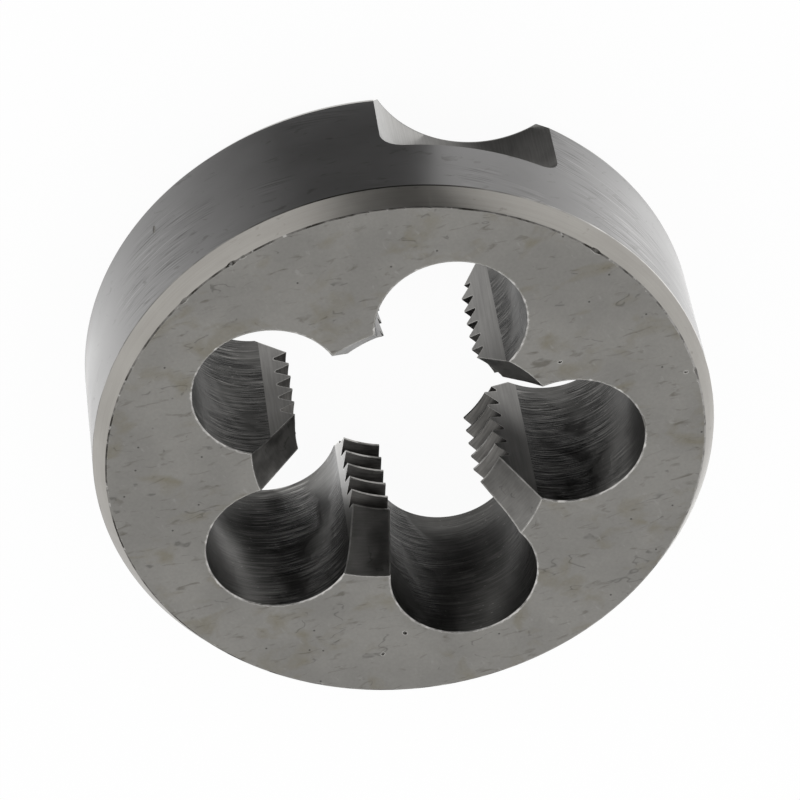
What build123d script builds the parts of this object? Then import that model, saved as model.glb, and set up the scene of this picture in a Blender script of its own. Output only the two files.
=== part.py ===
"""Round threading die: a solid tool steel ring with clearance holes round a threaded bore.

The die lies on its back face. The origin is the centre of that face, +Z points out of the
starting face, and the clearance hole beside the rim notch lies on +Y.
"""

from build123d import *
from math import asin, ceil, cos, degrees, radians, sin, sqrt, tan
import os

# Blank
outside_diameter = 45.0
thickness = 14.0
rim_chamfer_length = 1.5  # along the axis
rim_chamfer_angle = 30.0  # from the axis

# Clearance holes, which leave one land between each two neighbours
hole_count = 5
hole_diameter = 10.8
hole_circle_diameter = 23.7

# Thread: 11/16-16 UN, right hand, with a flat on crest and root
thread_diameter = 17.4625
pitch = 25.4 / 16
flank_angle = 30.0  # from square to the axis
flat_width = pitch / 8
first_crest_height = 0.93  # where the helix crosses +X, above the back face

# Lead on the starting face, relieved behind each cutting edge
lead_diameter = 22.24
lead_angle = 38.0  # from the axis
lead_relief = 1.42  # how far the cone of each land stands off the axis, towards its heel

# Lead on the back face
back_lead_diameter = 20.0
back_lead_angle = 50.0  # from the axis

# Notch milled into the rim from the back face, by an end mill parallel to the axis
notch_cutter_diameter = 16.4
notch_depth = 4.2
notch_height = 7.4
notch_corner_radius = 1.5
notch_turn = 1.25  # degrees past +Y

# How far each cutter runs past the surface that it opens
overrun = 1.0

# Sizes that follow
outside_radius = outside_diameter / 2
hole_radius = hole_diameter / 2
hole_circle_radius = hole_circle_diameter / 2
half_spacing = 180 / hole_count
rim_chamfer_depth = rim_chamfer_length * tan(radians(rim_chamfer_angle))
groove_depth = (pitch - 2 * flat_width) / (2 * tan(radians(flank_angle)))
crest_radius = thread_diameter / 2 - groove_depth
notch_cutter_radius = notch_cutter_diameter / 2
notch_centre = outside_radius - notch_depth + notch_cutter_radius

# Each hole opens into the bore through a throat whose two walls touch the hole. The rake face,
# on the clockwise side, lies in a plane through the axis. The heel face is parallel to the middle
# of the land behind it. Both are drawn here for a hole on +X.
rake_angle = degrees(asin(hole_radius / hole_circle_radius))
rake_reach = sqrt(hole_circle_radius**2 - hole_radius**2)
heel_offset = hole_circle_radius * sin(radians(half_spacing)) - hole_radius
heel_reach = hole_circle_radius * cos(radians(half_spacing))
heel_start = sqrt(crest_radius**2 - heel_offset**2)


def heel_point(reach):
    """A point of the heel face, at this distance along the middle of its land."""
    return Vector(reach, -heel_offset).rotate(Axis.Z, half_spacing)


# The starting lead of one land on +X: a cone off the axis, kept to that land's share of the ring
lead_top_radius = lead_diameter / 2 + overrun * tan(radians(lead_angle))
lead_tip_radius = crest_radius - lead_relief - overrun
with BuildPart() as lead_cutter:
    with Locations((0, -lead_relief, thickness + overrun)):
        Cone(
            bottom_radius=lead_tip_radius,
            top_radius=lead_top_radius,
            height=(lead_top_radius - lead_tip_radius) / tan(radians(lead_angle)),
            align=(Align.CENTER, Align.CENTER, Align.MAX),
        )
    with BuildSketch():
        with BuildLine():
            share_length = 2 * outside_radius
            share_half_width = share_length * tan(radians(half_spacing))
            Polyline(
                (0, 0),
                (share_length, -share_half_width),
                (share_length, share_half_width),
                close=True,
            )
        make_face()
    extrude(amount=thickness + overrun, mode=Mode.INTERSECT)

# One turn of the thread groove, swept along its helix from below the back face. Its flanks run on
# past the crests, into the open bore, by a length that keeps the turns apart.
groove_start = first_crest_height - 1.5 * pitch
groove_turns = ceil(thickness / pitch) + 2
groove_overrun = flat_width / 4
with BuildPart() as groove_cutter:
    with BuildLine() as helix:
        Helix(pitch=pitch, height=pitch, radius=crest_radius, center=(0, 0, groove_start))
    with BuildSketch(Plane(origin=helix.line @ 0, x_dir=(1, 0, 0), z_dir=helix.line % 0)):
        with BuildLine():
            mouth = (pitch - flat_width) / 2 + groove_overrun * tan(radians(flank_angle))
            Polyline(
                (-groove_overrun, -mouth),
                (groove_depth, -flat_width / 2),
                (groove_depth, flat_width / 2),
                (-groove_overrun, mouth),
                close=True,
            )
        make_face()
    sweep(is_frenet=True)

# The end mill of the rim notch, on +X, as high as the notch and with its corner rounded
with BuildPart() as notch_cutter:
    with Locations((notch_centre, 0, -overrun)):
        Cylinder(
            radius=notch_cutter_radius,
            height=notch_height + overrun,
            align=(Align.CENTER, Align.CENTER, Align.MIN),
        )
    fillet(notch_cutter.edges().sort_by(Axis.Z)[-1], radius=notch_corner_radius)

with BuildPart() as threading_die:
    # The blank, turned with a chamfer on both rims and drawn at +Y, where the notch comes
    with BuildSketch(Plane.YZ):
        with BuildLine():
            Polyline(
                (0, 0),
                (outside_radius - rim_chamfer_depth, 0),
                (outside_radius, rim_chamfer_length),
                (outside_radius, thickness - rim_chamfer_length),
                (outside_radius - rim_chamfer_depth, thickness),
                (0, thickness),
                close=True,
            )
        make_face()
    revolve(axis=Axis.Z)

    # The bore at the thread's crests, and the thread in it
    with BuildSketch():
        Circle(crest_radius)
    extrude(amount=thickness, mode=Mode.SUBTRACT)
    with Locations([(0, 0, turn * pitch) for turn in range(groove_turns)]):
        add(groove_cutter.part, mode=Mode.SUBTRACT)

    # The lead on the back face
    with BuildSketch(Plane.XZ):
        with BuildLine():
            Polyline(
                (0, -overrun),
                (back_lead_diameter / 2 + overrun * tan(radians(back_lead_angle)), -overrun),
                (0, back_lead_diameter / 2 / tan(radians(back_lead_angle))),
                close=True,
            )
        make_face()
    revolve(axis=Axis.Z, mode=Mode.SUBTRACT)

    # The clearance holes and their throats
    with BuildSketch():
        with PolarLocations(hole_circle_radius, hole_count, start_angle=90):
            Circle(hole_radius)
        with PolarLocations(0, hole_count, start_angle=90):
            Polygon(
                (0, 0),
                Vector(rake_reach, 0).rotate(Axis.Z, -rake_angle),
                (hole_circle_radius, 0),
                heel_point(heel_reach),
                heel_point(heel_start),
                align=None,
            )
    extrude(amount=thickness, mode=Mode.SUBTRACT)

    # The lead on the starting face, land by land
    with PolarLocations(0, hole_count, start_angle=90 - half_spacing):
        add(lead_cutter.part, mode=Mode.SUBTRACT)

    # The rim notch
    with PolarLocations(0, 1, start_angle=90 + notch_turn):
        add(notch_cutter.part, mode=Mode.SUBTRACT)

threading_die.part.label = "threading_die"
os.makedirs("parts", exist_ok=True)
export_step(threading_die.part, "parts/threading_die.step")
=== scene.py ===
from math import acos, asin, ceil, cos, pi, radians, sin, sqrt, tan
from random import Random

import bmesh
import bpy
from mathutils import Matrix, Vector, noise


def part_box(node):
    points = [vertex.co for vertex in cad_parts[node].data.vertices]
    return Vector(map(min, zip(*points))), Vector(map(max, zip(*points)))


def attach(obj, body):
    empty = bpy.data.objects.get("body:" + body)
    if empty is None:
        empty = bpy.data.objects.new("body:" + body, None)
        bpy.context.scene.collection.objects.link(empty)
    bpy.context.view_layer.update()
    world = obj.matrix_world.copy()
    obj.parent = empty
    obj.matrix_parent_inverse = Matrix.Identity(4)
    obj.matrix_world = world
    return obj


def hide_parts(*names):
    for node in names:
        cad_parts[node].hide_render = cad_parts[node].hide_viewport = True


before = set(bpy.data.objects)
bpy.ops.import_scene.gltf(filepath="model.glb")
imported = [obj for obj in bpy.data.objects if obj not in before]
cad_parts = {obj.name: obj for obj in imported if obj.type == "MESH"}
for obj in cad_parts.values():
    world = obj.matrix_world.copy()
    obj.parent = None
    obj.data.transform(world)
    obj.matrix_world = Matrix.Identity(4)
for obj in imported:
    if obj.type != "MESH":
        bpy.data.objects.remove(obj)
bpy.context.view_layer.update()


# ---------------------------------------------------------------------------------------------
# The blank: a disc of tool steel, turned with a 30 degree chamfer on both rims, hardened, and
# ground flat on both faces. All that follows is cut from this one piece. Years of handling have
# left the faces mottled and stained, the rim rubbed, and the edge of each face nicked.
# ---------------------------------------------------------------------------------------------
mm = 0.001
die_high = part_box("threading_die")[1]
outside_radius = die_high.x
thickness = die_high.z
rim_chamfer_length = 1.5 * mm
rim_chamfer_depth = rim_chamfer_length * tan(radians(30))
face_edge_radius = 0.14 * mm
rim_edge_radius = 0.24 * mm
turning_steps = 288
core_radius = 3 * mm  # inside the bore, so the tap takes it away


def make(tree, kind, inputs=(), **settings):
    """Adds a node to a finish. Each input is a plain value, or the socket that feeds it."""
    node = tree.nodes.new(kind)
    for name, value in settings.items():
        setattr(node, name, value)
    for name, value in dict(inputs).items():
        if isinstance(value, bpy.types.NodeSocket):
            tree.links.new(value, node.inputs[name])
        else:
            node.inputs[name].default_value = value
    return node


def steel(name):
    """A new finish of bare steel, its nodes, and the place on the die in millimetres."""
    material = bpy.data.materials.new(name)
    material.use_nodes = True
    tree = material.node_tree
    tree.nodes["Principled BSDF"].inputs["Metallic"].default_value = 1.0
    place = make(tree, "ShaderNodeTexCoord").outputs["Object"]
    place = make(tree, "ShaderNodeVectorMath", {0: place, "Scale": 1000}, operation="SCALE")
    return material, tree, place.outputs[0]


def grain(tree, place, size, turn=(0, 0, 0), detail=3.0, wander=0.0):
    """Uneven grain from 0 to 1. The size is that of one patch, in millimetres along x, y, z."""
    fit = {"Vector": place, "Scale": size, "Rotation": turn}
    spot = make(tree, "ShaderNodeMapping", fit, vector_type="TEXTURE").outputs[0]
    inputs = {"Vector": spot, "Scale": 1.0, "Detail": detail, "Distortion": wander}
    return make(tree, "ShaderNodeTexNoise", inputs).outputs[0]


def ramp(tree, value, low, high, start=0.0, end=1.0):
    """Goes from start to end while the value goes from low to high."""
    inputs = {0: value, 1: low, 2: high, 3: start, 4: end}
    return make(tree, "ShaderNodeMapRange", inputs).outputs[0]


def times(tree, first, second):
    return make(tree, "ShaderNodeMath", {0: first, 1: second}, operation="MULTIPLY").outputs[0]


def over(tree, share, under, top, how="MIX"):
    """Lays the top colour over the one under it, by a share from 0 to 1."""
    inputs = {0: share, 1: under, 2: top}
    return make(tree, "ShaderNodeMixRGB", inputs, blend_type=how).outputs[0]


def shaded(tree, colour, value, low, high, darkest, lightest):
    """The colour made darker where the value is low and lighter where it is high."""
    return over(tree, 1.0, colour, ramp(tree, value, low, high, darkest, lightest), "MULTIPLY")


def hairlines(tree, place, size, width, patch, cover, turn=(0, 0, 0)):
    """Fine curved scratches: the middle line of one grain, kept in some patches of another."""
    level = grain(tree, place, size, turn, 2.0, 0.4)
    off = make(tree, "ShaderNodeMath", {0: level, 1: 0.5}, operation="SUBTRACT").outputs[0]
    off = make(tree, "ShaderNodeMath", {0: off}, operation="ABSOLUTE").outputs[0]
    kept = ramp(tree, grain(tree, place, patch, (0.3, 0.2, 1), 3.0), cover, cover + 0.03)
    return times(tree, ramp(tree, off, 0.0, width, 1.0, 0.0), kept)


def specks(tree, place, cell, radius, cover):
    """Small round pits, at most one in a cell, in those cells that are chosen."""
    inputs = {"Vector": place, "Scale": 1 / cell}
    cells = make(tree, "ShaderNodeTexVoronoi", inputs, voronoi_dimensions="2D")
    near = ramp(tree, cells.outputs["Distance"], 0.5 * radius / cell, radius / cell, 1.0, 0.0)
    return times(tree, near, ramp(tree, cells.outputs["Color"], cover, cover + 0.01))


def painted_edge_highlights(tree, place, colour, reach, strength):
    """Paints a highlight on the steel along its sharp edges, in patches, where a rounded normal would
    lean most.
    """
    leaning = make(tree, "ShaderNodeBevel", {"Radius": reach}, samples=4).outputs[0]
    straight = make(tree, "ShaderNodeNewGeometry").outputs["Normal"]
    inputs = {0: leaning, 1: straight}
    alike = make(tree, "ShaderNodeVectorMath", inputs, operation="DOT_PRODUCT").outputs["Value"]
    patches = grain(tree, place, (0.7, 0.7, 0.7), detail=4.0)
    patches = ramp(tree, patches, 0.36, 0.56, 0.35, strength)
    edge = times(tree, ramp(tree, alike, 0.995, 0.93, 0.0, 1.0), patches)
    # painted highlight: a light colour laid over the steel near its sharp edges
    return over(tree, edge, colour, (0.62, 0.61, 0.585, 1))


def dress(tree, colour, roughness, height, depth):
    """Joins the colour, the roughness and a fine relief of this depth to the steel."""
    shader = tree.nodes["Principled BSDF"]
    tree.links.new(colour, shader.inputs["Base Color"])
    tree.links.new(roughness, shader.inputs["Roughness"])
    bump = make(tree, "ShaderNodeBump", {"Height": height, "Distance": depth})
    tree.links.new(bump.outputs[0], shader.inputs["Normal"])


# The ground faces: mottled grey, with tea-coloured stains, short dark rubs, scratches and pits
ground_face, tree, place = steel("ground_face")
cloud = grain(tree, place, (5, 5, 5), detail=5.0)
colour = over(tree, ramp(tree, cloud, 0.38, 0.62), (0.205, 0.2, 0.188, 1), (0.243, 0.237, 0.222, 1))
stain = grain(tree, place, (3.0, 2.2, 3), (0, 0, 0.6), 5.0, 0.5)
colour = over(tree, ramp(tree, stain, 0.54, 0.74, 0.0, 0.6), colour, (0.165, 0.147, 0.1, 1))
rub = grain(tree, place, (1.7, 0.5, 1), (0, 0, 0.5), 4.0, 0.7)
colour = over(tree, ramp(tree, rub, 0.6, 0.74, 0.0, 0.6), colour, (0.095, 0.086, 0.07, 1))
polish = grain(tree, place, (1.1, 0.5, 1), (0, 0, -0.7), 4.0)
colour = over(tree, ramp(tree, polish, 0.64, 0.76, 0.0, 0.35), colour, (0.33, 0.325, 0.315, 1))
fine = grain(tree, place, (0.22, 0.22, 0.22), detail=4.0)
colour = shaded(tree, colour, fine, 0.3, 0.7, 0.96, 1.04)
scratch = hairlines(tree, place, (3.6, 1.8, 2), 0.016, (1.9, 1.9, 1.9), 0.58, (0, 0, 0.4))
colour = over(tree, times(tree, scratch, 0.45), colour, (0.05, 0.047, 0.042, 1))
pits = specks(tree, place, 2.3, 0.1, 0.7)
colour = over(tree, times(tree, pits, 0.75), colour, (0.04, 0.038, 0.035, 1))
# painted highlight along the face's sharp edges
colour = painted_edge_highlights(tree, place, colour, 0.17 * mm, 0.85)
dents = make(tree, "ShaderNodeMath", {0: scratch, 1: pits}, operation="MAXIMUM").outputs[0]
relief = make(tree, "ShaderNodeMath", {0: fine, 1: dents}, operation="SUBTRACT").outputs[0]
dress(tree, colour, ramp(tree, cloud, 0.35, 0.65, 0.38, 0.46), relief, 0.006 * mm)

# The turned chamfers: brighter and smoother, with faint rings left by the lathe
turned_chamfer, tree, place = steel("turned_chamfer")
cloud = grain(tree, place, (5, 5, 2), detail=4.0)
colour = over(tree, ramp(tree, cloud, 0.35, 0.65), (0.345, 0.33, 0.306, 1), (0.395, 0.38, 0.354, 1))
ring_lines = grain(tree, place, (9, 9, 0.09), detail=3.0)
colour = shaded(tree, colour, ring_lines, 0.35, 0.65, 0.97, 1.03)
rub = grain(tree, place, (1.2, 1.2, 0.5), (0.2, 0.3, 0), 4.0)
colour = over(tree, ramp(tree, rub, 0.66, 0.78, 0.0, 0.5), colour, (0.16, 0.15, 0.135, 1))
dress(tree, colour, ramp(tree, cloud, 0.35, 0.65, 0.33, 0.39), ring_lines, 0.003 * mm)

# The rim: darker from hardening, rubbed along its length in patches, where it turned in holders.
# The worst four are given by their middles and their reach, in millimetres
hardened_rim, tree, place = steel("hardened_rim")
cloud = grain(tree, place, (7, 7, 4), detail=4.0)
colour = over(tree, ramp(tree, cloud, 0.35, 0.65), (0.2, 0.197, 0.195, 1), (0.235, 0.232, 0.23, 1))
rubbed = ramp(tree, grain(tree, place, (5, 5, 3.5), (0.4, 0, 0), 2.0), 0.52, 0.66, 0.0, 0.6)
rubbed_places = [(11.5, 19.3, 9, 6), (6.5, 21.5, 4, 4), (18, 13.5, 9, 4), (-20.5, 9.2, 8, 5.5)]
for *middle, reach in rubbed_places:
    inputs = {0: place, 1: middle}
    far_off = make(tree, "ShaderNodeVectorMath", inputs, operation="DISTANCE").outputs["Value"]
    inputs = {0: rubbed, 1: ramp(tree, far_off, reach * 0.5, reach, 1.0, 0.0)}
    rubbed = make(tree, "ShaderNodeMath", inputs, operation="MAXIMUM").outputs[0]
lengthwise = grain(tree, place, (3.6, 3.6, 0.13), (0.12, -0.14, 0), 4.0, 0.3)
darker = times(tree, rubbed, ramp(tree, lengthwise, 0.54, 0.68, 0.0, 0.75))
colour = over(tree, darker, colour, (0.06, 0.058, 0.056, 1))
brighter = times(tree, rubbed, ramp(tree, lengthwise, 0.45, 0.32, 0.0, 0.6))
colour = over(tree, brighter, colour, (0.36, 0.355, 0.35, 1))
smear = grain(tree, place, (1.4, 1.4, 0.4), (0.7, 0.5, 0), 3.0, 0.6)
colour = over(tree, ramp(tree, smear, 0.63, 0.75, 0.0, 0.4), colour, (0.07, 0.066, 0.058, 1))
relief = times(tree, rubbed, lengthwise)
dress(tree, colour, ramp(tree, cloud, 0.35, 0.65, 0.33, 0.4), relief, 0.004 * mm)

# The line between rim and chamfer: painted shade in the middle of the die's width, plain steel
# towards -X and a painted highlight towards +X
rim_line, tree, place = steel("rim_line")
along = make(tree, "ShaderNodeSeparateXYZ", {0: place}).outputs["X"]
patches = grain(tree, place, (2, 2, 2), detail=4.0)
# painted shade: dark from here on towards +X
painted_shade_part = ramp(tree, along, -17.5, -11.0)
colour = over(tree, painted_shade_part, (0.25, 0.245, 0.235, 1), (0.05, 0.048, 0.044, 1))
# painted highlight: light towards +X
painted_highlight_part = ramp(tree, along, -3.0, 9.0)
colour = over(tree, painted_highlight_part, colour, (0.6, 0.59, 0.57, 1))
colour = shaded(tree, colour, patches, 0.35, 0.65, 0.7, 1.15)
dress(tree, colour, ramp(tree, patches, 0.4, 0.6, 0.45, 0.35), patches, 0.003 * mm)

# The edge of each face: a thin line, dark with dirt, with bright spots where it was knocked, and
# with a painted highlight towards +X, in patches
knocked_edge, tree, place = steel("knocked_edge")
patches = grain(tree, place, (1.6, 1.6, 1.6), detail=5.0)
colour = over(tree, ramp(tree, patches, 0.4, 0.56), (0.05, 0.047, 0.042, 1), (0.22, 0.213, 0.2, 1))
knocks = grain(tree, place, (0.6, 0.6, 0.6), detail=3.0)
colour = over(tree, ramp(tree, knocks, 0.6, 0.7, 0.0, 0.8), colour, (0.5, 0.49, 0.47, 1))
along = make(tree, "ShaderNodeSeparateXYZ", {0: place}).outputs["X"]
# painted highlight: lighter in patches towards +X
painted_highlight_part = times(tree, ramp(tree, along, 9.0, 15.0), ramp(tree, knocks, 0.42, 0.52, 0.3, 0.8))
colour = over(tree, painted_highlight_part, colour, (0.38, 0.37, 0.355, 1))
dress(tree, colour, ramp(tree, patches, 0.4, 0.6, 0.5, 0.35), knocks, 0.01 * mm)


def rounded(before, corner, after, radius, steps=4):
    """The points of an arc that rounds the corner between two straight runs."""
    back, ahead = (before - corner).normalized(), (after - corner).normalized()
    half = back.angle(ahead) / 2
    centre = corner + (back + ahead).normalized() * (radius / sin(half))
    first = corner + back * (radius / tan(half)) - centre
    last = corner + ahead * (radius / tan(half)) - centre
    turn = first.angle_signed(last)
    turns = [Matrix.Rotation(-turn * step / steps, 2) for step in range(steps + 1)]
    return [centre + part_turn @ first for part_turn in turns]


def loft(name, rings, finishes, finish_of=None, closed=False):
    """A solid whose skin joins rings of points, each strip of it in one of the finishes."""
    count = len(rings[0])
    last = len(rings) if closed else len(rings) - 1
    faces, slots = [], []
    for i in range(last):
        near, far = i * count, (i + 1) % len(rings) * count
        for j in range(count):
            beside = (j + 1) % count
            faces.append((near + j, near + beside, far + beside, far + j))
            slots.append(finish_of(i, j) if finish_of else 0)
    if not closed:
        faces += [tuple(range(count)), tuple(range(last * count, (last + 1) * count))]
        slots += [0, 0]
    body = bmesh.new()
    mesh = bpy.data.meshes.new(name)
    mesh.from_pydata([point for ring in rings for point in ring], [], faces)
    mesh.polygons.foreach_set("material_index", slots)
    body.from_mesh(mesh)
    bmesh.ops.recalc_face_normals(body, faces=body.faces)
    body.to_mesh(mesh)
    body.free()
    for finish in finishes:
        mesh.materials.append(finish)
    thing = bpy.data.objects.new(name, mesh)
    bpy.context.scene.collection.objects.link(thing)
    return thing


corners = [
    Vector((core_radius, 0)),
    Vector((outside_radius - rim_chamfer_depth, 0)),
    Vector((outside_radius, rim_chamfer_length)),
    Vector((outside_radius, thickness - rim_chamfer_length)),
    Vector((outside_radius - rim_chamfer_depth, thickness)),
    Vector((core_radius, thickness)),
]
section = [corners[0]]
for before, corner, after in zip(corners, corners[1:], corners[2:]):
    radius = rim_edge_radius if corner.x == outside_radius else face_edge_radius
    section += rounded(before, corner, after, radius)
section.append(corners[-1])
turn_angles = [2 * pi * step / turning_steps for step in range(turning_steps)]
rings = [[(r * cos(a), r * sin(a), z) for a in turn_angles] for r, z in section]


def blank_finish(i, j):
    """Face, chamfer, rim or edge, by the slope and length of this strip of the section."""
    here, there = section[i], section[(i + 1) % len(section)]
    across, up = abs(there.x - here.x), abs(there.y - here.y)
    if (there - here).length < rim_edge_radius:
        return 3 if here.x < outside_radius - rim_chamfer_depth / 2 else 4
    if up < across * 0.5 or across == 0 and here.x == core_radius:
        return 0
    return 2 if across < up * 0.3 else 1


die = loft(
    "round_threading_die",
    rings,
    [ground_face, turned_chamfer, hardened_rim, knocked_edge, rim_line],
    blank_finish,
    closed=True,
)


def cut(cutter):
    """Takes the cutter's shape out of the die. The fresh surface keeps the cutter's finish."""
    tool = die.modifiers.new(cutter.name, "BOOLEAN")
    tool.operation = "DIFFERENCE"
    tool.solver = "EXACT"
    tool.material_mode = "TRANSFER"
    tool.object = cutter
    depsgraph = bpy.context.evaluated_depsgraph_get()
    mesh = bpy.data.meshes.new_from_object(die.evaluated_get(depsgraph))
    die.modifiers.clear()
    die.data = mesh
    bpy.data.objects.remove(cutter)


# ---------------------------------------------------------------------------------------------
# The thread: 11/16 inch, 16 to the inch, right hand, tapped through the bore before hardening.
# Crest and root are both flat. The flanks stay dark, and the crests are painted lighter in patches: a
# painted highlight.
# ---------------------------------------------------------------------------------------------
thread_radius = 17.4625 / 2 * mm
pitch = 25.4 / 16 * mm
flat_width = pitch / 8
groove_depth = (pitch - 2 * flat_width) / (2 * tan(radians(30)))
crest_radius = thread_radius - groove_depth
first_crest_height = 0.93 * mm
thread_steps = 240
tap_overrun = 2 * mm
runout_height = 10.2 * mm  # above this the lead has taken the teeth, and the tap goes no deeper

cut_thread, tree, place = steel("cut_thread")
cloud = grain(tree, place, (2, 2, 1), detail=4.0)
colour = over(tree, ramp(tree, cloud, 0.35, 0.65), (0.1, 0.097, 0.092, 1), (0.16, 0.155, 0.147, 1))
tool_lines = grain(tree, place, (1.6, 1.6, 0.07), detail=4.0)
colour = shaded(tree, colour, tool_lines, 0.35, 0.65, 0.8, 1.2)
dress(tree, colour, ramp(tree, cloud, 0.35, 0.65, 0.3, 0.4), tool_lines, 0.006 * mm)

# painted highlight: the crests coloured lighter than the flanks, in patches
crest_painted_highlight, tree, place = steel("crest_painted_highlight")
patches = grain(tree, place, (0.9, 0.9, 0.9), detail=4.0)
colour = over(tree, ramp(tree, patches, 0.36, 0.54), (0.17, 0.166, 0.158, 1), (0.42, 0.412, 0.396, 1))
dress(tree, colour, ramp(tree, patches, 0.4, 0.6, 0.45, 0.35), patches, 0.004 * mm)

first_turn = -ceil((tap_overrun + pitch) / pitch)
last_turn = ceil((thickness + tap_overrun) / pitch)
tooth = [
    (crest_radius, -flat_width / 2),
    (crest_radius, flat_width / 2),
    (thread_radius, (pitch - flat_width) / 2),
    (thread_radius, (pitch + flat_width) / 2),
]
rows = [
    (radius, first_crest_height + turn * pitch + height)
    for turn in range(first_turn, last_turn + 1)
    for radius, height in tooth
]
tap = bmesh.new()
grid = []
for radius, height in rows:
    ring = []
    for step in range(thread_steps + 1):
        a = 2 * pi * step / thread_steps
        z = height + pitch * a / (2 * pi)
        reach = crest_radius if z > runout_height else radius
        ring.append(tap.verts.new((reach * cos(a), reach * sin(a), z)))
    grid.append(ring)
for i in range(len(rows) - 1):
    for j in range(thread_steps):
        face = tap.faces.new((grid[i][j], grid[i][j + 1], grid[i + 1][j + 1], grid[i + 1][j]))
        face.material_index = 1 if rows[i][0] == rows[i + 1][0] == crest_radius else 0
# Each turn ends where the one after it begins, and the two are joined there
bmesh.ops.remove_doubles(tap, verts=tap.verts, dist=0.0001 * mm)
tips = [tap.verts.new((0, 0, rows[0][1])), tap.verts.new((0, 0, rows[-1][1] + pitch))]
for edge in [edge for edge in tap.edges if edge.is_boundary]:
    upper = edge.verts[0].co.z + edge.verts[1].co.z > thickness
    tap.faces.new((*edge.verts, tips[upper]))
bmesh.ops.recalc_face_normals(tap, faces=tap.faces)
tap_mesh = bpy.data.meshes.new("tap")
tap.to_mesh(tap_mesh)
tap.free()
tap_mesh.materials.append(cut_thread)
tap_mesh.materials.append(crest_painted_highlight)
tap_tool = bpy.data.objects.new("tap", tap_mesh)
bpy.context.scene.collection.objects.link(tap_tool)
cut(tap_tool)


# ---------------------------------------------------------------------------------------------
# The clearance holes: drilled through beside the bore, then opened into it by grinding. The rake
# face of each land lies in a plane through the axis; its heel face is parallel to its middle.
# The drill left deep score lines round the walls, and a thin burr on the edges, coloured light as a
# painted highlight.
# ---------------------------------------------------------------------------------------------
land_count = 5
half_spacing = pi / land_count
hole_radius = 5.4 * mm
hole_circle_radius = 11.85 * mm
hole_steps = 220
cutter_overrun = 1 * mm
hole_edge = 0.065 * mm  # the small break on both ends of each hole
edge_waver = 0.15 * mm
least_waver = -0.08  # keeps the break from closing up where the waver goes inwards
edge_grain = 0.32 * mm

drilled_wall, tree, place = steel("drilled_wall")
cloud = grain(tree, place, (4, 4, 4), detail=3.0)
colour = over(tree, ramp(tree, cloud, 0.35, 0.65), (0.055, 0.054, 0.051, 1), (0.095, 0.093, 0.089, 1))
scored = ramp(tree, grain(tree, place, (3.4, 3.4, 4.5), (0.5, 0.3, 0.9), 2.0), 0.38, 0.54)
flat = make(tree, "ShaderNodeVectorMath", {0: place, 1: (1, 1, 0)}, operation="MULTIPLY").outputs[0]
reach = make(tree, "ShaderNodeVectorMath", {0: flat}, operation="LENGTH").outputs["Value"]
scored = times(tree, scored, ramp(tree, reach, 15.2, 16.9, 1.0, 0.25))  # smoother furthest out
score = grain(tree, place, (3.0, 3.0, 0.22), (0.16, 0.13, 0), 5.0, 0.4)
dark_score = times(tree, scored, ramp(tree, score, 0.5, 0.6, 0.0, 0.92))
colour = over(tree, dark_score, colour, (0.018, 0.017, 0.016, 1))
light_score = times(tree, scored, ramp(tree, score, 0.47, 0.34, 0.0, 0.65))
colour = over(tree, light_score, colour, (0.3, 0.293, 0.28, 1))
thin_score = grain(tree, place, (3, 3, 0.08), (0.08, 0.12, 0), 3.0, 0.2)
colour = shaded(tree, colour, thin_score, 0.35, 0.62, 0.82, 1.18)
torn = grain(tree, place, (0.5, 0.5, 0.16), (0.1, 0.1, 0), 3.0, 0.2)
colour = over(tree, ramp(tree, torn, 0.68, 0.76, 0.0, 0.6), colour, (0.36, 0.35, 0.33, 1))
depth = make(tree, "ShaderNodeMath", {0: score, 1: thin_score}, operation="ADD").outputs[0]
dress(tree, colour, ramp(tree, score, 0.35, 0.65, 0.4, 0.32), times(tree, scored, depth), 0.05 * mm)

ground_throat, tree, place = steel("ground_throat")
cloud = grain(tree, place, (2.5, 2.5, 5), detail=3.0)
colour = over(tree, ramp(tree, cloud, 0.35, 0.65), (0.165, 0.161, 0.154, 1), (0.22, 0.215, 0.206, 1))
stroke = grain(tree, place, (0.16, 0.16, 5), (0.03, 0.02, 0), 4.0)
colour = shaded(tree, colour, stroke, 0.35, 0.65, 0.9, 1.1)
# painted highlight along the throat's sharp edges
colour = painted_edge_highlights(tree, place, colour, 0.16 * mm, 0.6)
dress(tree, colour, ramp(tree, cloud, 0.35, 0.65, 0.3, 0.38), stroke, 0.004 * mm)

# painted highlight: the break at both ends of each hole, coloured light
burr_painted_highlight, tree, place = steel("burr_painted_highlight")
patches = grain(tree, place, (1.1, 1.1, 1.1), detail=4.0)
colour = over(tree, ramp(tree, patches, 0.32, 0.5), (0.18, 0.175, 0.165, 1), (0.56, 0.55, 0.53, 1))
dress(tree, colour, ramp(tree, patches, 0.4, 0.6, 0.5, 0.4), patches, 0.004 * mm)

# The outline of a hole on +X: its round side, then the tip where the planes of its throat meet
rake_facing = -pi + acos(hole_radius / hole_circle_radius)
heel_facing = pi / 2 + half_spacing
heel_offset = hole_circle_radius * sin(half_spacing) - hole_radius
rake_angle = asin(hole_radius / hole_circle_radius)
tip_radius = heel_offset / sin(half_spacing + rake_angle)
hole_centre = Vector((hole_circle_radius, 0))
outline = []
for step in range(hole_steps + 1):
    facing = rake_facing + (heel_facing - rake_facing) * step / hole_steps
    outline.append(hole_radius * Vector((cos(facing), sin(facing))))
outline.append(tip_radius * Vector((cos(rake_angle), -sin(rake_angle))) - hole_centre)


def hole_finish(i, j):
    """A burr with a painted highlight at both ends; between them, drilled round the hole and ground
    in the throat.
    """
    if i != 2:
        return 2
    return 0 if j < hole_steps else 1


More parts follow.
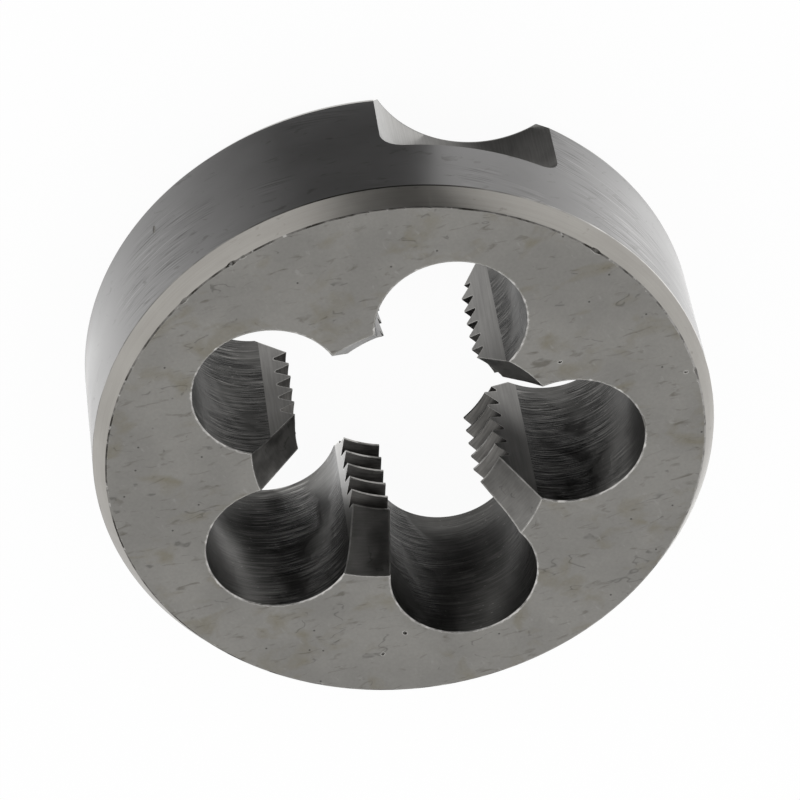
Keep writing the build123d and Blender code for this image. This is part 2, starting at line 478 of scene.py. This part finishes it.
# The heights of the cutter's rings, and how many times the break each one stands out
levels = [
    (-cutter_overrun, 2),
    (-hole_edge, 2),
    (hole_edge, 0),
    (thickness - hole_edge, 0),
    (thickness + hole_edge, 2),
    (thickness + cutter_overrun, 2),
]
for hole in range(land_count):
    turn = Matrix.Rotation(pi / 2 + 2 * half_spacing * hole, 2)
    rings = []
    for height, flare in levels:
        ring = []
        for spot in outline:
            waver = noise.noise(Vector((*spot, hole * mm + height)) / edge_grain)
            wider = flare * (hole_edge + edge_waver * max(waver, least_waver)) / hole_radius
            ring.append((*(turn @ (hole_centre + spot * (1 + wider))), height))
        rings.append(ring)
    cut(loft("clearance_hole", rings, [drilled_wall, ground_throat, burr_painted_highlight], hole_finish))


# ---------------------------------------------------------------------------------------------
# The leads: a taper at each end of the thread, so that the first teeth bite gradually. On the
# starting face it is ground land by land, off the axis, so each land stands back at its heel.
# ---------------------------------------------------------------------------------------------
lead_radius = 22.24 / 2 * mm
lead_slope = tan(radians(38))
lead_relief = 1.42 * mm
back_lead_radius = 10 * mm
back_lead_slope = tan(radians(50))
lead_steps = 36

ground_lead, tree, place = steel("ground_lead")
cloud = grain(tree, place, (1.5, 1.5, 1.5), detail=5.0)
colour = over(tree, ramp(tree, cloud, 0.35, 0.65), (0.17, 0.166, 0.158, 1), (0.225, 0.22, 0.21, 1))
stroke = grain(tree, place, (1.2, 1.2, 0.1), (0.2, 0.1, 0), 4.0)
colour = shaded(tree, colour, stroke, 0.35, 0.65, 0.93, 1.07)
scratch = hairlines(tree, place, (2, 1.4, 1.4), 0.02, (1.2, 1.2, 1.2), 0.55)
colour = over(tree, times(tree, scratch, 0.5), colour, (0.06, 0.058, 0.054, 1))
# painted highlight along the lead's sharp edges
colour = painted_edge_highlights(tree, place, colour, 0.24 * mm, 0.95)
dress(tree, colour, ramp(tree, cloud, 0.35, 0.65, 0.3, 0.38), stroke, 0.004 * mm)


def lead_reach(angle, height):
    """How far the lead cone of a land on +X stands from the axis, in this direction."""
    radius = lead_radius - (thickness - height) * lead_slope
    return sqrt(radius**2 - (lead_relief * cos(angle)) ** 2) - lead_relief * sin(angle)


lead_depth = (lead_radius - crest_radius + lead_relief + cutter_overrun) / lead_slope
for land in range(land_count):
    middle = pi / 2 + half_spacing * (2 * land + 1)
    fan = [half_spacing * (2 * step / lead_steps - 1) for step in range(lead_steps + 1)]
    rings = []
    for height in (thickness - lead_depth, thickness + cutter_overrun):
        ring = []
        for a in fan:
            reach = lead_reach(a, height)
            ring.append((reach * cos(middle + a), reach * sin(middle + a), height))
        rings.append(ring + [(0, 0, height)])
    cut(loft("lead", rings, [ground_lead]))

back_rings = []
for height in (-cutter_overrun, crest_radius / back_lead_slope):
    radius = back_lead_radius - height * back_lead_slope
    back_rings.append([(radius * cos(a), radius * sin(a), height) for a in turn_angles])
cut(loft("back_lead", back_rings, [ground_lead]))


# ---------------------------------------------------------------------------------------------
# The rim notch: one plunge of an end mill with a rounded corner, parallel to the axis, from the
# back face. A dog or screw point of the holder sits in it and keeps the die from turning.
# ---------------------------------------------------------------------------------------------
notch_cutter_radius = 8.2 * mm
notch_depth = 4.2 * mm
notch_height = 7.4 * mm
notch_corner_radius = 1.5 * mm
notch_cutter_core = 1.025 * mm  # the inner ring of its flat end, well outside the rim
notch_angle = radians(91.25)
notch_steps = 160

milled_notch, tree, place = steel("milled_notch")
cloud = grain(tree, place, (3, 3, 3), detail=3.0)
colour = over(tree, ramp(tree, cloud, 0.35, 0.65), (0.15, 0.147, 0.14, 1), (0.19, 0.186, 0.178, 1))
feed_lines = grain(tree, place, (0.12, 0.12, 4), (0.02, 0.03, 0), 4.0)
colour = shaded(tree, colour, feed_lines, 0.35, 0.65, 0.9, 1.1)
dress(tree, colour, ramp(tree, cloud, 0.35, 0.65, 0.32, 0.4), feed_lines, 0.004 * mm)

notch_distance = outside_radius - notch_depth + notch_cutter_radius
foot = Vector((notch_cutter_radius, -cutter_overrun))
shoulder = Vector((notch_cutter_radius, notch_height))
crown = Vector((0, notch_height))
section = [foot] + rounded(foot, shoulder, crown, notch_corner_radius, steps=8)
section.append(Vector((notch_cutter_core, notch_height)))
centre_x, centre_y = notch_distance * cos(notch_angle), notch_distance * sin(notch_angle)
rings = []
for radius, height in section:
    ring = []
    for step in range(notch_steps):
        a = 2 * pi * step / notch_steps
        ring.append((centre_x + radius * cos(a), centre_y + radius * sin(a), height))
    rings.append(ring)
cut(loft("notch", rings, [milled_notch]))


# ---------------------------------------------------------------------------------------------
# The nicks: small dents from being dropped and knocked about in a drawer. Most are on the sharp
# edge of the starting face, and a few are in the face itself and in the rim.
# ---------------------------------------------------------------------------------------------
edge_reach = outside_radius - rim_chamfer_depth
large_nicks = [
    (151.6, 0.36), (139.8, 0.4), (137.2, 0.26), (131.5, 0.22), (101.0, 0.2), (67.4, 0.42),
    (53.5, 0.18), (31.8, 0.34), (29.4, 0.24), (267.8, 0.34), (269.4, 0.18), (262.0, 0.16),
]  # degrees round the edge, and the radius in millimetres
small_nicks = 60
clear_of_large = 2  # degrees
# Pits in the face: their place and radius, in millimetres
pits = [(4.12, -15.68, 0.14), (3.03, -17.91, 0.12), (8.51, 10.27, 0.11), (17.7, 11.15, 0.11)]
rim_nick_height = 4.5 * mm
rim_nick_reach = (0.1 * mm, 0.16 * mm, 0.5 * mm)
finest_edge = 0.001 * mm
straight_edge = radians(0.1)  # an edge that bends less than this counts as straight

nicks = bmesh.new()


def nick(spot, reach, turn):
    """A dent the size of a small ellipsoid, with its middle at this spot."""
    shape = Matrix.Translation(spot) @ Matrix.Rotation(turn, 4, "Z") @ Matrix.Diagonal((*reach, 1))
    bmesh.ops.create_icosphere(nicks, subdivisions=2, radius=1.0, matrix=shape)


def edge_nick(degrees, size, out, up, width, length):
    """A dent in the edge of the starting face. All but the first two are shares of its size."""
    size = size * mm
    a = radians(degrees)
    reach = edge_reach + size * out
    spot = Vector((reach * cos(a), reach * sin(a), thickness + size * up))
    nick(spot, (size * width, size * length, size), a)


for degrees, size in large_nicks:
    edge_nick(degrees, size, out=0.45, up=0.55, width=1.1, length=1.7)
shaker = Random(5)
for step in range(small_nicks):
    degrees = (step + shaker.uniform(0.15, 0.85)) * 360 / small_nicks
    size = shaker.uniform(0.07, 0.13)
    if min(abs(degrees - large) for large, _ in large_nicks) > clear_of_large:
        edge_nick(degrees, size, out=0.3, up=0.4, width=1, length=shaker.uniform(1, 4))
for x, y, size in pits:
    nick(Vector((x * mm, y * mm, thickness)), (size * mm, size * mm * 1.3, size * mm), x)
rim_nick = radians(154.9)
rim_spot = (outside_radius * cos(rim_nick), outside_radius * sin(rim_nick), rim_nick_height)
nick(Vector(rim_spot), rim_nick_reach, rim_nick)
nick_mesh = bpy.data.meshes.new("nicks")
nicks.to_mesh(nick_mesh)
nicks.free()
nick_mesh.materials.append(knocked_edge)
nick_tool = bpy.data.objects.new("nicks", nick_mesh)
bpy.context.scene.collection.objects.link(nick_tool)
cut(nick_tool)

# All the cuts are made: corners that they left closer than the finest edge become one, and
# corners in the middle of a straight edge go
body = bmesh.new()
body.from_mesh(die.data)
bmesh.ops.remove_doubles(body, verts=body.verts, dist=finest_edge)
bmesh.ops.dissolve_degenerate(body, edges=body.edges, dist=finest_edge)
midway = [corner for corner in body.verts if len(corner.link_edges) == 2]
midway = [corner for corner in midway if corner.calc_edge_angle() < straight_edge]
bmesh.ops.dissolve_verts(body, verts=midway)
body.to_mesh(die.data)
body.free()
die.data.polygons.foreach_set("use_smooth", [True] * len(die.data.polygons))
die.data.set_sharp_from_angle(angle=radians(24))
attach(die, "root")
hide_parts("threading_die")


# ---------------------------------------------------------------------------------------------
# The studio: a white floor in a white room, with dark, grey and bright cards round the die. The
# rim, the chamfers and the walls of the cuts mirror them. None of this is part of the die.
# ---------------------------------------------------------------------------------------------
scene = bpy.context.scene
scene.view_settings.view_transform = "Standard"
half_floor = 1.5
floor_drop = 0.05 * mm
white_share = 0.95  # how much of the floor shows plain white, whatever shadow lies on it
card_lift = 0.1 * mm
wall_reach = 0.6  # from the die's axis to the cards on the wall
dark = 0.02

floor_mesh = bpy.data.meshes.new("studio_floor")
floor_corners = [
    (-half_floor, -half_floor, 0), (half_floor, -half_floor, 0),
    (half_floor, half_floor, 0), (-half_floor, half_floor, 0),
]
floor_mesh.from_pydata(floor_corners, [], [(0, 1, 2, 3)])
floor = bpy.data.objects.new("studio_floor", floor_mesh)
floor.location.z = -floor_drop
scene.collection.objects.link(floor)
paint = bpy.data.materials.new("studio_floor")
paint.use_nodes = True
tree = paint.node_tree
tree.nodes.clear()
ray = make(tree, "ShaderNodeLightPath").outputs
mirrored = {0: ray["Is Glossy Ray"], 1: ray["Is Transmission Ray"]}
mirrored = make(tree, "ShaderNodeMath", mirrored, operation="MAXIMUM").outputs[0]
either = {0: ray["Is Camera Ray"], 1: mirrored}
either = make(tree, "ShaderNodeMath", either, operation="MAXIMUM").outputs[0]
matt = make(tree, "ShaderNodeBsdfDiffuse", {"Color": (0.9, 0.9, 0.9, 1)}).outputs[0]
white = make(tree, "ShaderNodeEmission").outputs[0]
share = times(tree, either, white_share)
surface = make(tree, "ShaderNodeMixShader", {0: share, 1: matt, 2: white}).outputs[0]
make(tree, "ShaderNodeOutputMaterial", {"Surface": surface})
floor_mesh.materials.append(paint)


def card(name, corners, grey, fade=None):
    """A studio card that the steel mirrors. Neither the camera nor the floor's light meets it."""
    mesh = bpy.data.meshes.new(name)
    mesh.from_pydata(corners, [], [tuple(range(len(corners)))])
    board = bpy.data.objects.new(name, mesh)
    scene.collection.objects.link(board)
    cloth = bpy.data.materials.new(name)
    cloth.use_nodes = True
    tree = cloth.node_tree
    tree.nodes.clear()
    if fade:
        middle, half_width, last_grey = fade
        place = make(tree, "ShaderNodeTexCoord").outputs["Object"]
        inputs = {"Vector": place, "Angle": -middle}
        place = make(tree, "ShaderNodeVectorRotate", inputs, rotation_type="Z_AXIS").outputs[0]
        sides = make(tree, "ShaderNodeSeparateXYZ", {0: place}).outputs
        inputs = {0: sides["Y"], 1: sides["X"]}
        angle = make(tree, "ShaderNodeMath", inputs, operation="ARCTAN2").outputs[0]
        grey = ramp(tree, angle, -half_width, half_width, grey, last_grey)
    glow = make(tree, "ShaderNodeEmission", {"Strength": grey}).outputs[0]
    make(tree, "ShaderNodeOutputMaterial", {"Surface": glow})
    mesh.materials.append(cloth)
    board.visible_camera = False
    board.visible_diffuse = False
    board.visible_shadow = False
    board.visible_transmission = False


def ring_part(first, last, reach, height):
    """Points round the die's axis, 4 degrees apart or a little less."""
    steps = ceil(abs(last - first) / 4)
    angles = [radians(first + (last - first) * step / steps) for step in range(steps + 1)]
    return [(reach * cos(a), reach * sin(a), height) for a in angles]


def floor_card(name, first, last, near, far, first_grey, last_grey):
    """A card on the floor that fades from one end to the other. It is part of a ring round the
    die, from the first to the last angle in degrees, and from near to far in millimetres."""
    corners = ring_part(first, last, near * mm, card_lift)
    corners += ring_part(last, first, far * mm, card_lift)
    fade = (radians(first + last) / 2, radians(last - first) / 2, last_grey)
    card(name, corners, first_grey, fade)


# Bright cards beside the rim, grey ones before it, and a dark one far off
floor_card("right_card", -30, 45, 22.9, 38, 1.75, 1.75)
floor_card("right_card_end", 45, 76, 22.9, 38, 1.75, 0.95)
floor_card("front_card", 96, 128, 22.9, 62, 0.17, 0.19)
floor_card("front_card_end", 128, 172, 22.9, 62, 0.21, 1.15)
floor_card("left_card", 172, 192, 22.9, 38, 1.15, 1.65)
floor_card("left_card_end", 192, 215, 22.9, 38, 1.65, 1.65)
floor_card("far_card", 90, 118, 62.5, 590, dark, dark)
# Cards that the notch mirrors
floor_card("notch_card", 76, 84, 18, 24, 0.22, 0.22)
floor_card("notch_card_middle", 84, 94, 18, 22.5, 0.22, 0.95)
floor_card("notch_card_left", 97, 108, 18, 22, 1.9, 1.9)
# Dark cards under three of the holes and a grey one under the fourth: a painted shadow on the floor
# under the die, seen only in reflections. And a bright one that a throat mirrors
floor_card("hole_card_1", -158, -109, 4, 15, dark, dark)
floor_card("hole_card_2", -67, -20, 4, 15.5, dark, dark)
floor_card("hole_card_3", 6, 48, 6.5, 16.5, dark, dark)
floor_card("hole_card_4", 132, 182, 7.5, 16, 0.15, 0.95)
floor_card("throat_card", -109, -94, 8, 17, 2.1, 2.1)
# Dark cards on the wall, one above another, that the chamfer and the leads mirror
low_card = ring_part(86, 122, wall_reach, -0.1) + ring_part(123, 84, wall_reach, 0.1)
card("low_wall_card", low_card, dark)
high_card = ring_part(84, 123, wall_reach, 0.1) + ring_part(125, 50, wall_reach, 1.1)
high_card += [ring_part(55, 59, wall_reach, 0.3)[0]]
card("high_wall_card", high_card, dark)
top_card = ring_part(15, 125, wall_reach, 1.1) + ring_part(125, 15, wall_reach, 2.2)
card("top_wall_card", top_card, dark)

world = bpy.data.worlds.new("studio")
world.use_nodes = True
scene.world = world
background = world.node_tree.nodes["Background"]
background.inputs["Color"].default_value = (1, 1, 1, 1)
background.inputs["Strength"].default_value = 1.0

camera_data = bpy.data.cameras.new("camera")
camera = bpy.data.objects.new("camera", camera_data)
scene.collection.objects.link(camera)
scene.camera = camera
camera_data.lens = 214.81
camera_data.sensor_width = 36
camera_data.clip_start = 0.02
camera_right = Vector((0.95971, 0.26141, 0.10304))
camera_up = Vector((-0.15247, 0.79251, -0.59049))
camera_back = camera_right.cross(camera_up)
camera_place = Vector((-0.08200, 0.19195, 0.28578))
camera_turn = Matrix((camera_right, camera_up, camera_back)).transposed().to_4x4()
camera.matrix_world = Matrix.Translation(camera_place) @ camera_turn
